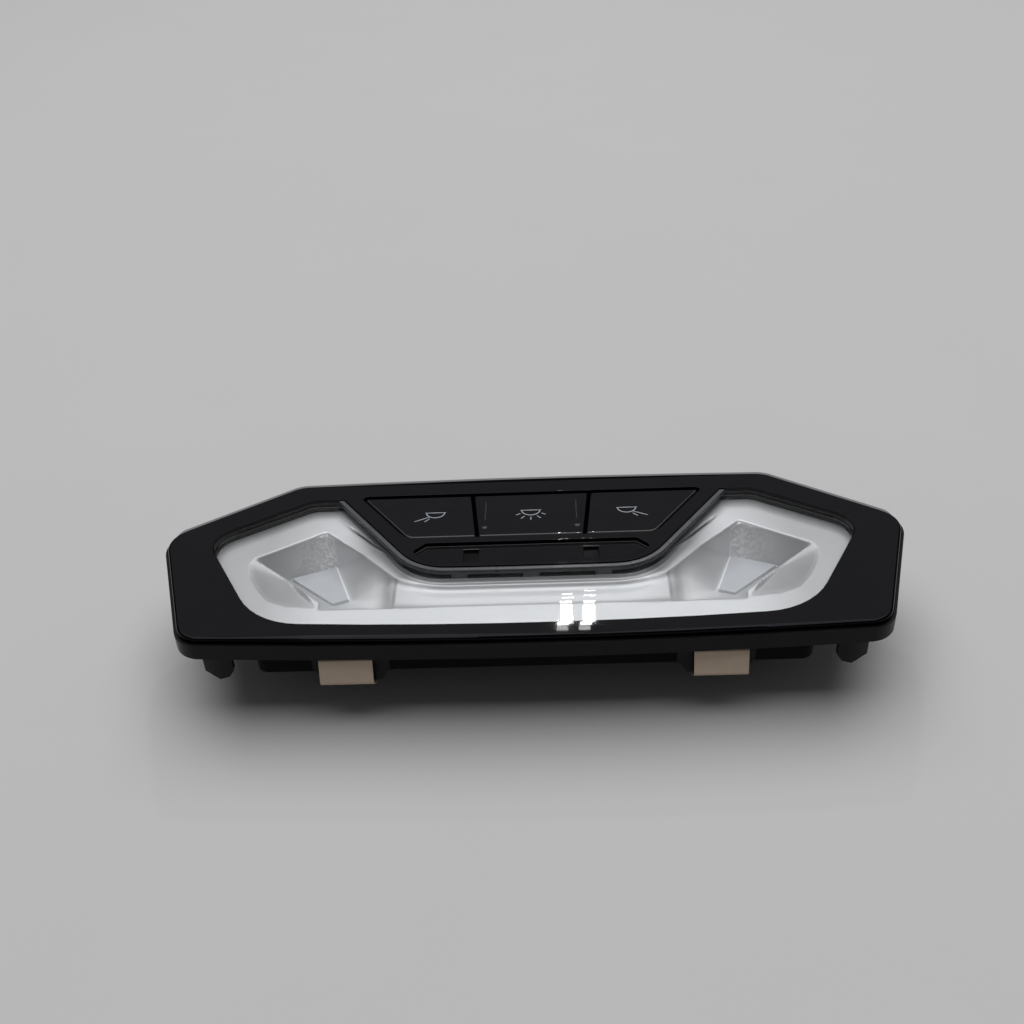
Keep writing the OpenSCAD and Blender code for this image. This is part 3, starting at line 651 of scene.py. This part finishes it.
def swept_lines(paths, section, rise):
    """Tubes of half-round section along flat paths: point(i, j) = path(i) + side(i) cos(j)
    section / 2 + up sin(j) rise, with i along the path and j round the section. The ends are
    flat."""
    vertices, faces, start = [], [], 0
    turn = np.linspace(0, np.pi, 7)[None, :, None]
    aside, above = np.cos(turn) * section / 2, np.array([0, 0, 1]) * (np.sin(turn) * rise)
    for path in paths:
        ahead = np.gradient(path, axis=0)
        ahead /= np.linalg.norm(ahead, axis=1, keepdims=True)
        side = np.stack([-ahead[:, 1], ahead[:, 0], np.zeros(len(path))], 1)
        grid = path[:, None] + side[:, None] * aside + above
        count = grid.size // 3
        index = start + np.arange(count).reshape(grid.shape[:2])
        vertices.append(grid.reshape(-1, 3))
        faces += ring_cells(index).tolist()
        faces += [index[0, ::-1].tolist(), index[-1].tolist()]
        start += count
    return np.concatenate(vertices), faces


def welded_copy(node, name, edge, clamp=False):
    """A copy of a CAD node with its loose triangles joined, its flat faces made whole and its
    edges of more than 28 degrees rounded. Clamp keeps the rounding within narrow faces."""
    mesh = bpy.data.meshes.new(name)
    work = bmesh.new()
    work.from_mesh(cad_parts[node].data)
    bmesh.ops.remove_doubles(work, verts=work.verts, dist=2e-6)
    flat = math.radians(0.5)
    bmesh.ops.dissolve_limit(work, angle_limit=flat, verts=work.verts, edges=work.edges)
    work.to_mesh(mesh)
    work.free()
    mesh.shade_smooth()
    piece = bpy.data.objects.new(name, mesh)
    bpy.context.scene.collection.objects.link(piece)
    bevel = piece.modifiers.new("edges", "BEVEL")
    bevel.width = edge
    bevel.segments = 2
    bevel.limit_method = "ANGLE"
    bevel.angle_limit = math.radians(28)
    bevel.use_clamp_overlap = clamp
    flatten = piece.modifiers.new("flat_faces", "WEIGHTED_NORMAL")
    flatten.mode = "FACE_AREA"
    flatten.weight = 100
    return piece


def stands_for(piece, node, material, body):
    """Makes a finished piece stand for its CAD node."""
    piece.data.materials.clear()
    piece.data.materials.append(material)
    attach(piece, body)
    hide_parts(node)


def refinish(node, material):
    """Gives a CAD node a better material."""
    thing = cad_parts[node]
    for place in thing.material_slots:
        place.link = "OBJECT"
        place.material = material


# Reflector, in millimetres. X is the distance from the middle, except in the grid and the shell.


def facets(points):
    """Planes z = a x + b y + c under the hull of some points: its lower facets, which are those
    through three of the points that leave none of the others below them, and a steep one up from
    each side."""
    spots = np.asarray(points, float)
    i, j, k = np.array(list(itertools.combinations(range(len(spots)), 3))).T
    normal = np.cross(spots[j] - spots[i], spots[k] - spots[i])
    upright = np.abs(normal[:, 2]) > 1e-3
    normal, base = normal[upright], spots[i][upright]
    slopes = -normal[:, :2] / normal[:, 2:]
    planes = np.column_stack([slopes, base[:, 2] - (slopes * base[:, :2]).sum(1)])
    over = spots[:, 2] - (planes[:, :2] @ spots[:, :2].T + planes[:, 2:])
    planes = planes[over.min(1) > -1e-3]
    i, j = np.array(list(itertools.permutations(range(len(spots)), 2))).T
    way = spots[j] - spots[i]
    out = np.column_stack([way[:, 1], -way[:, 0]]) / np.linalg.norm(way[:, :2], axis=1)[:, None]
    beyond = out @ spots[:, :2].T - (out * spots[i][:, :2]).sum(1)[:, None]
    sides = beyond.max(1) < 1e-6
    run = (way[:, 2] / (way[:, :2] ** 2).sum(1))[sides, None] * way[sides, :2]
    slopes = run + STEEP * out[sides]
    steep = np.column_stack([slopes, spots[i][sides, 2] - (slopes * spots[i][sides, :2]).sum(1)])
    kept = []
    for plane in np.concatenate([planes, steep]):
        if all(np.abs(plane - other).max() > 0.05 for other in kept):
            kept.append(plane)
    return np.array(kept)


def greater(a, b, soft):
    """The greater of two heights, their crease rounded: max(a, b) + max(soft - |a - b|, 0)^2 /
    (4 soft)."""
    return np.maximum(a, b) + np.maximum(soft - np.abs(a - b), 0) ** 2 / (4 * soft)


def lesser(a, b, soft):
    """The lesser of two heights, with the same rounding turned over."""
    return -greater(-a, -b, soft)


def hollow(planes, x, y, thick, soft):
    """Height of a faceted hollow, the greatest of its planes, each moved out by thick along its
    normal."""
    a, b, c = planes.T
    lean = np.sqrt(1 + a * a + b * b)
    heights = [x * a[i] + y * b[i] + c[i] - thick * lean[i] for i in range(len(a))]
    height = heights[0]
    for other in heights[1:]:
        height = greater(height, other, soft)
    return height


def beside_panel(x, y):
    """Distance from the centre panel's edge: the greater of those from its near side and from
    its slanted side, which is ((x - foot x) slope - (y - foot y)) / lean, with lean = sqrt(1 +
    slope^2)."""
    slanted = ((x - PANEL_FOOT[0]) * PANEL_SLOPE - (y - PANEL_FOOT[1])) / PANEL_LEAN
    return greater(PANEL_NEAR - y, slanted, 6.4)


def cove_rise(x, y):
    """How far the flange rises in the hollow beside the panel: 1.2 mm at 1.05 mm from the
    panel's edge, less by the square over 1.1 mm, and nothing beyond x = 44."""
    gap = beside_panel(x, y) - 1.05
    rise = 1.2 * np.clip(1 - gap / 1.1, 0, 1) ** 2
    return rise * np.clip((44 - x) / 8, 0, 1) * np.clip(gap / 0.1, 0, 1)


def trough_height(x, y, thick):
    """Height of the trough: its floor, raised to the flange at its rims by the sixth power of
    the distance from its middle line, and by the square of the distance past x = 33."""
    far_rim = -8.1 + 3.6 * np.clip((x - 19) / 15.5, 0, 1) ** 2
    across = np.abs(2 * y - far_rim - TROUGH_NEAR) / (far_rim - TROUGH_NEAR + 2 * thick)
    depth = TROUGH_DEPTH * (1 - np.minimum(across, 1.2) ** 6)
    return FLANGE - depth + 0.02 * np.maximum(x - 33, 0) ** 2 - thick


def groove_depth(x, y):
    """Depth of the narrow groove beside the panel: 0.4 mm near its line, and less toward its
    ends."""
    along, beside = by_groove(x, y)
    depth = 0.4 * np.clip(1.3 - np.abs(beside) / 0.42, 0, 1)
    return depth * np.clip((21.5 - along) / 4, 0, 1) * np.clip((along + 3) / 3, 0, 1)


def reflector_height(x, y, thick):
    """Height of the reflector's silver side, or of its back where thick is its wall: the least
    of the flange, the well, the ramp, the pit and the trough, with rounded creases."""
    well = hollow(facets(WELL), x, y, thick, 0.35)
    ramp = hollow(facets(RAMP), x, y, thick, 0.6)
    pit = hollow(facets(PIT), x, y, thick, 0.3)
    lamp = lesser(lesser(well, ramp, 0.3), pit, 0.35)
    flange = FLANGE + cove_rise(x, y) - thick
    return lesser(flange, lesser(lamp, trough_height(x, y, thick), 2), 0.5)


def window_edges(x):
    """Y of the reflector's near and far edges at x: straight lines and a shallow parabola just
    outside the window and under the panel, with rounded corners."""
    x = np.abs(x)
    near = greater(-27.7 + 0.0005 * x**2, -22.5 + 1.82 * (x - 67.2), 7)
    far = lesser(25.4, 25.4 - 0.581 * (x - 59.0), 2)
    panel = greater(-4.3, -4.3 + PANEL_SLOPE * (x - 27.8), 9)
    return near, lesser(far, panel, 0.5)


def reflector_grid():
    """Columns over the reflector's width, finer at the wells, and rows from its near to its far
    edge, which lie closer together toward the panel: share(j) = j + j sin(pi j) / 4, with j from
    0 to 1."""
    middle, wells = np.linspace(0, 33, 34), np.arange(33.4, 74, 0.4)
    x = np.concatenate([middle, wells, np.linspace(74, 83.6, 20)])
    x = np.concatenate([-x[:0:-1], x])
    near, far = window_edges(x)
    row = np.linspace(0, 1, 150)
    share = row + 0.25 * np.sin(np.pi * row) * row
    y = near[:, None] + (far - near)[:, None] * share
    return np.broadcast_to(x[:, None], y.shape), y


def reflector_shell():
    """The reflector as a closed shell: its silver side, its back one wall lower, and the walls
    round them."""
    x, y = reflector_grid()
    outward = np.abs(x)
    top = reflector_height(outward, y, 0) - groove_depth(outward, y)
    under = np.minimum(reflector_height(outward, y, WALL), top - LEAST_WALL)
    grids = np.stack([np.stack([x, y, side], -1) for side in (top, under)]) * MM
    index = np.arange(x.size).reshape(x.shape)
    upper = cells(index)
    rim = np.concatenate([index[:, 0], index[-1, 1:], index[-2::-1, -1], index[0, -2:0:-1]])
    after = np.roll(rim, -1)
    walls = np.stack([rim, rim + x.size, after + x.size, after], -1)
    faces = np.concatenate([upper, upper[:, ::-1] + x.size, walls])
    return grids.reshape(-1, 3), faces.tolist()


# Symbols and clips

# Rays of the symbols, from their middle: the right key's, and the centre key's slanted ones.
SIDE_RAYS = ([(1.6, -1.75), (5.4, -3.55)], [(1.45, -2.5), (2.8, -3.75)])
CENTRE_RAYS = ([(2.75, -1.35), (3.9, -2.0)], [(1.65, -2.5), (2.6, -3.5)])


def symbol_lines(side, height):
    """Centre lines of a key's lamp symbol: a flat top, a half-ellipse below it and its rays."""
    turn = np.linspace(0, np.pi, 17)
    lines = [[(-2.75, 0), (2.75, 0)], np.stack([2.4 * np.cos(turn), -2.1 * np.sin(turn)], 1)]
    if side:
        lines += [np.multiply(ray, (side, 1)) for ray in SIDE_RAYS]
    else:
        lines += [[(0, -2.95), (0, -4.15)]]
        lines += [np.multiply(ray, (way, 1)) for way in (-1, 1) for ray in CENTRE_RAYS]
    centre = np.array([side * SYMBOL_MIDDLE[0], SYMBOL_MIDDLE[1]])
    flat = [(np.asarray(line, float) + centre) * MM for line in lines]
    return [np.column_stack([line, np.full(len(line), height)]) for line in flat]


def clip_profile():
    """The spring sheet's outline in Y and Z: a path through its corners, smoothed by averaging
    each point with its neighbours, and moved out by half the sheet to either side."""
    corners = np.array(CLIP_CORNERS)
    steps = np.linspace(0, 1, 9)[None, :-1, None]
    path = (corners[:-1, None] + (corners[1:] - corners[:-1])[:, None] * steps).reshape(-1, 2)
    path = np.concatenate([path, corners[-1:]])
    for _ in range(6):
        path[1:-1] = (path[:-2] + 2 * path[1:-1] + path[2:]) / 4
    ahead = np.gradient(path, axis=0)
    ahead /= np.linalg.norm(ahead, axis=1, keepdims=True)
    out = np.column_stack([ahead[:, 1], -ahead[:, 0]]) * CLIP_SHEET / 2
    return np.concatenate([path + out, (path - out)[::-1]])


def spring_clips(side):
    """Two bent sheets, each a profile swept along X: point(i, j) = (x(i), y(j), z(j)), with j
    round the profile. The sheet hooks under the frame's tab and bulges outward between the skirt
    and its foot."""
    loop = clip_profile()
    half = len(loop) // 2
    across = CLIP_WIDTH / 2 * np.array([-1, -0.985, -0.9, 0, 0.9, 0.985, 1])
    vertices, faces = [], []
    for number, centre in enumerate((-CLIP_MIDDLE, CLIP_MIDDLE)):
        grid = np.empty((len(across), len(loop), 3))
        grid[..., 0] = centre + across[:, None]
        grid[..., 1:] = loop * (side, 1)
        count = grid.size // 3
        index = number * count + np.arange(count).reshape(grid.shape[:2])
        low, high = index[0], index[-1]
        first = np.stack([low[: half - 1], low[:half:-1], low[half:-1][::-1], low[1:half]], -1)
        last = np.stack([high[: half - 1], high[1:half], high[half:-1][::-1], high[:half:-1]], -1)
        quads = np.concatenate([ring_cells(index), first, last])
        vertices.append(grid.reshape(-1, 3))
        faces.append(quads if side > 0 else quads[:, ::-1])
    return np.concatenate(vertices) * MM, np.concatenate(faces).tolist()


# Floor, lights and camera

# Two columns of tube lights are seen mirrored in the lens and the cover: the azimuth of each
# column's middle and their elevation, in degrees, the tubes' distance and width, and their aim.
TUBE_COLUMNS = (("left", 0.32), ("right", 2.05))
TUBE_ELEVATION = 42.15
TUBE_DISTANCE = 1.25
TUBE_WIDTH = 14 * MM
TUBE_AIM = Vector((12, -23, 28)) * MM

# Each row of tubes: its height in mm and power in watts, and the azimuth and elevation of the left
# and of the right tube from their column's middle, in degrees.
GLINTS = (
    (1.4, 0.001, (0.0, -0.99), (0.0, -1.16)),
    (1.4, 0.0012, (0.05, -0.78), (0.0, -0.89)),
    (2.6, 0.003, (-0.1, -0.53), (-0.05, -0.545)),
    (18.0, 0.26, (-0.07, 0.05), (-0.07, 0.05)),
    (4.2, 0.012, (-0.32, 0.615), (-0.3, 0.66)),
    (1.4, 0.0007, (-0.4, 0.875), (-0.4, 0.89)),
    (5.4, 0.0017, (-0.42, 1.08), (-0.42, 1.07)),
)


def plain_floor(colour):
    """A flat matt floor of 0.5 m squares, 6 m wide."""
    span = np.linspace(-3, 3, 13)
    u, v = np.meshgrid(span, span, indexing="ij")
    vertices = np.stack([u, v, np.zeros_like(u)], -1).reshape(-1, 3)
    quads = cells(np.arange(u.size).reshape(u.shape))
    mesh = bpy.data.meshes.new("floor")
    mesh.from_pydata(vertices.tolist(), [], quads.tolist())
    mesh.materials.append(paper_floor(colour))
    floor = bpy.data.objects.new("floor", mesh)
    bpy.context.scene.collection.objects.link(floor)
    return floor


def dim_room():
    """A dim grey world round the lamp, which sets how dark the blacks are."""
    world = bpy.data.worlds.new("room")
    world.use_nodes = True
    sockets = world.node_tree.nodes["Background"].inputs
    sockets["Color"].default_value = (0.5, 0.5, 0.505, 1)
    sockets["Strength"].default_value = 0.2
    return world


def lamp_light(name, azimuth, elevation, distance, width, height, power, aim=Vector((0, 0, 0.025))):
    """An area light seen from a spot on the lamp at an azimuth from the far side and an
    elevation, aimed at it."""
    a, e = math.radians(azimuth), math.radians(elevation)
    way = Vector((math.sin(a) * math.cos(e), math.cos(a) * math.cos(e), math.sin(e)))
    light = bpy.data.lights.new(name, "AREA")
    light.shape = "RECTANGLE"
    light.size, light.size_y, light.energy = width, height, power
    thing = bpy.data.objects.new(name, light)
    bpy.context.scene.collection.objects.link(thing)
    thing.location = aim + way * distance
    thing.rotation_euler = way.to_track_quat("Z", "Y").to_euler()


def camera_matrix(settings):
    """Place and turn of the camera from its elevation, heading and roll."""
    up, way, roll = settings.camera_elevation, settings.camera_heading, settings.camera_roll
    ahead = Vector((math.sin(way) * math.cos(up), math.cos(way) * math.cos(up), -math.sin(up)))
    right = Vector((math.cos(way), -math.sin(way), 0))
    down = ahead.cross(right)
    across = math.cos(roll) * right + math.sin(roll) * down
    below = math.cos(roll) * down - math.sin(roll) * right
    turn = Matrix((across, -below, -ahead)).transposed()
    return Matrix.Translation(settings.camera_place) @ turn.to_4x4()


def stage_camera(settings):
    """The camera, placed and turned by the stage's settings."""
    camera = bpy.data.objects.new("camera", bpy.data.cameras.new("camera"))
    bpy.context.scene.collection.objects.link(camera)
    camera.data.lens = settings.focal_length
    camera.data.sensor_width = 36
    camera.data.dof.use_dof = False
    camera.data.clip_start = 0.01
    camera.matrix_world = camera_matrix(settings)
    return camera


# Operators


class DOME_OT_cover(bpy.types.Operator):
    """Finish the gloss black face cover"""

    bl_idname = "dome.cover"
    bl_label = "Face cover"

    def execute(self, context):
        sizes, colours = context.scene.dome_sizes, context.scene.dome_colours
        # The cover's rounded edge gets a painted shade line below the face.
        finish = gloss_moulding("gloss_black", colours.gloss_black, FACE)
        piece = welded_copy("cover", "face_cover", sizes.moulded_edge)
        stands_for(piece, "cover", finish, "lamp")
        return {"FINISHED"}


class DOME_OT_lens(bpy.types.Operator):
    """Finish the clear lens and the light guide round the panel"""

    bl_idname = "dome.lens"
    bl_label = "Lens and light guide"

    def execute(self, context):
        refinish("front_lens", clear_plastic("clear_lens", (0.97, 0.975, 0.98), 0.008))
        # The light guide gets a painted lit top over a band of painted shade.
        painted_lit = (FACE - 0.8, FACE - 0.6)
        refinish("accent_light_guide", milky_plastic("milky_guide", (0.07, 0.072, 0.075), painted_lit))
        return {"FINISHED"}


class DOME_OT_reflector(bpy.types.Operator):
    """Finish the silver reflector and the two reading lenses"""

    bl_idname = "dome.reflector"
    bl_label = "Reflector"

    def execute(self, context):
        # The silver carries painted shade, and a painted highlight on its ramps.
        finish = silver_paint(context.scene.dome_colours.silver)
        vertices, faces = reflector_shell()
        piece = new_object("silver_reflector", vertices, faces, finish, "lamp")
        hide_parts("reflector")
        # The reading lenses carry a painted highlight along one edge.
        frosted = frosted_tile("frosted_lens", (0.55, 0.56, 0.58))
        refinish("reading_lens_left", frosted)
        refinish("reading_lens_right", frosted)
        return {"FINISHED"}


class DOME_OT_keys(bpy.types.Operator):
    """Finish the three keys, with their symbols"""

    bl_idname = "dome.keys"
    bl_label = "Keys"

    def execute(self, context):
        sizes = context.scene.dome_sizes
        black = scaled(context.scene.dome_colours.gloss_black, 1.1)
        plain = gloss_moulding("key_black", black)
        # The centre key's ribs get painted highlight lines.
        ribbed = gloss_moulding("key_black_ribbed", black, ribs=RIB_EDGE)
        print_finish = printed_symbol()
        for side, name in ((-1, "left"), (0, "centre"), (1, "right")):
            node, body = f"button_{name}", f"key_{name}"
            finish = plain if side else ribbed
            piece = welded_copy(node, f"key_cap_{name}", sizes.key_edge)
            stands_for(piece, node, finish, body)
            lines = symbol_lines(side, top_of("cover") - KEY_DROP * MM)
            vertices, faces = swept_lines(lines, sizes.symbol_line, sizes.symbol_rise)
            new_object(f"key_symbol_{name}", vertices, faces, print_finish, body)
        return {"FINISHED"}


class DOME_OT_body(bpy.types.Operator):
    """Finish the carrier frame, the rear housing and the spring clips"""

    bl_idname = "dome.body"
    bl_label = "Frame, housing and clips"

    def execute(self, context):
        colours = context.scene.dome_colours
        # The frame gets a painted highlight on its upper rim and painted light on its far ledge.
        black, rim = colours.satin_black, (FACE - 1.2, FACE - 1.0)
        satin = satin_moulding("satin_black", black, 0.38, gloss=0.13, rim=rim)
        plate = satin_moulding("guide_black", scaled(black, 1.4), 0.3, gloss=0.5)
        matte = satin_moulding("matte_black", scaled(black, 0.4), 0.55, 0.5, 0.06)
        piece = welded_copy("carrier_frame", "frame_moulding", 0.1 * MM, clamp=True)
        stands_for(piece, "carrier_frame", satin, "lamp")
        piece = welded_copy("rear_housing", "housing_moulding", 0.3 * MM)
        stands_for(piece, "rear_housing", matte, "lamp")
        tan = coated_sheet(colours.clip_tan)
        for node, side in (("clips_near", -1), ("clips_far", 1)):
            vertices, faces = spring_clips(side)
            name = node.replace("clips", "spring_clips")
            piece = new_object(name, vertices, faces, tan, "lamp")
            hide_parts(node)
        refinish("key_guide", plate)
        refinish("connector_header", matte)
        return {"FINISHED"}


class DOME_OT_inside(bpy.types.Operator):
    """Finish the pieces inside: switches, board, lamps, light pipes, pins and screws"""

    bl_idname = "dome.inside"
    bl_label = "Inner pieces"

    def execute(self, context):
        grey = satin_moulding("switch_grey", (0.05, 0.05, 0.055), 0.45)
        white = milky_plastic("led_white", (0.8, 0.82, 0.8))
        smoke = satin_moulding("smoke_pipe", (0.003, 0.003, 0.0033), 0.3, gloss=0.05)
        steel = turned_metal("screw_steel", (0.45, 0.46, 0.48), 0.35)
        for node in ("key_switches", "stem_left", "stem_centre", "stem_right"):
            refinish(node, grey)
        refinish("circuit_board", board_lacquer())
        refinish("reading_leds", milky_plastic("led_yellow", (0.8, 0.72, 0.3)))
        refinish("accent_leds", white)
        refinish("symbol_leds", white)
        refinish("slot_light_pipes", smoke)
        refinish("connector_pins", turned_metal("tinned_brass", (0.6, 0.55, 0.4), 0.25))
        refinish("housing_screws", steel)
        refinish("board_screws", steel)
        return {"FINISHED"}


class DOME_OT_stage(bpy.types.Operator):
    """Make the floor, the lights and the camera"""

    bl_idname = "dome.stage"
    bl_label = "Stage"

    def execute(self, context):
        scene = context.scene
        floor = plain_floor(scene.dome_colours.floor)
        scene.world = dim_room()
        lamp_light("ceiling_light", 0, 78, distance=1.8, width=2.4, height=2.2, power=36)
        for row, (tall, power, *offsets) in enumerate(GLINTS):
            for (name, azimuth), (aside, above) in zip(TUBE_COLUMNS, offsets):
                place = (azimuth + aside, TUBE_ELEVATION + above, TUBE_DISTANCE)
                lamp_light(f"tube_{name}_{row}", *place, TUBE_WIDTH, tall * MM, power, TUBE_AIM)
        scene.camera = stage_camera(scene.dome_stage)
        scene.view_settings.view_transform = "Standard"
        scene.view_settings.look = "None"
        return {"FINISHED"}


class DOME_PT_panel(bpy.types.Panel):
    """The dome light's pieces and settings"""

    bl_idname = "DOME_PT_panel"
    bl_label = "Dome light"
    bl_space_type = "VIEW_3D"
    bl_region_type = "UI"
    bl_category = "Dome light"

    def draw(self, context):
        for operator in OPERATORS:
            self.layout.operator(operator.bl_idname)
        for settings in GROUPS:
            group = getattr(context.scene, settings)
            box = self.layout.box()
            for name in group.bl_rna.properties.keys():
                if name not in ("rna_type", "name"):
                    box.prop(group, name)


OPERATORS = (
    DOME_OT_cover,
    DOME_OT_lens,
    DOME_OT_reflector,
    DOME_OT_keys,
    DOME_OT_body,
    DOME_OT_inside,
    DOME_OT_stage,
)
GROUPS = {"dome_sizes": LampSizes, "dome_colours": LampColours, "dome_stage": StageSettings}


def register():
    for made in (*GROUPS.values(), *OPERATORS, DOME_PT_panel):
        bpy.utils.register_class(made)
    for name, group in GROUPS.items():
        setattr(bpy.types.Scene, name, PointerProperty(type=group))


def unregister():
    for name in GROUPS:
        delattr(bpy.types.Scene, name)
    for made in (DOME_PT_panel, *reversed(OPERATORS), *GROUPS.values()):
        bpy.utils.unregister_class(made)


def main():
    """Registers the classes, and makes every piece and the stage."""
    register()
    bpy.ops.dome.cover()
    bpy.ops.dome.lens()
    bpy.ops.dome.reflector()
    bpy.ops.dome.keys()
    bpy.ops.dome.body()
    bpy.ops.dome.inside()
    bpy.ops.dome.stage()


if __name__ == "__main__":
    main()
